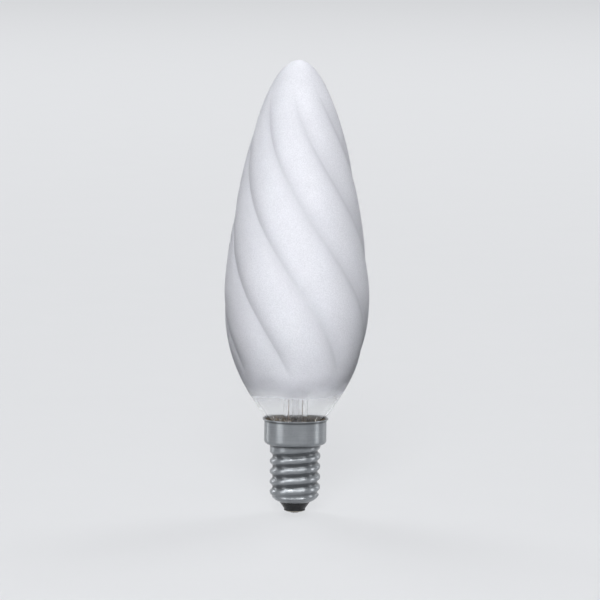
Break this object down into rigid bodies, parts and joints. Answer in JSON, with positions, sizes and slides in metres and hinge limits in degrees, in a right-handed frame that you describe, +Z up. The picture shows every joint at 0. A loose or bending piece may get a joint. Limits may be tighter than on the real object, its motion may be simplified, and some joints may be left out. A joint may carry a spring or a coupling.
{
  "type": "candle bulb",
  "caption": "Twisted satin glass candle bulb with a clear neck, wires and stem inside, and a small threaded metal cap.",
  "frame": {"origin": "middle of the foot contact's flat face, where the lampholder's contact presses", "axes": "+Z up the lamp's axis from the foot contact to the tip; the two leads lie in the XZ plane and -Y is the front in the picture"},
  "size_m": [0.0391, 0.0393, 0.1235],
  "materials": {
    "satin_glass": "satin",
    "clear_glass": "polished",
    "cap_metal": "satin",
    "black_glass": "polished",
    "brass_plate": "satin",
    "solder": "satin",
    "copper_wire": "satin",
    "nickel_wire": "satin",
    "tungsten": "satin",
    "cement": "matte"
  },
  "bodies": {
    "root": {"glass_envelope": "satin_glass", "stem": "clear_glass", "exhaust_tube": "clear_glass", "support_rod": "clear_glass", "seal_wire_left": "copper_wire", "seal_wire_right": "copper_wire", "inner_lead_left": "nickel_wire", "inner_lead_right": "nickel_wire", "centre_lead": "copper_wire", "side_lead": "copper_wire", "filament": "tungsten", "support_wire_1": "tungsten", "support_wire_2": "tungsten", "support_wire_3": "tungsten", "cap_shell": "cap_metal", "cap_insulator": "black_glass", "contact_plate": "brass_plate", "centre_solder": "solder", "side_solder": "solder", "cement_ring": "cement"}
  },
  "joints": []
}
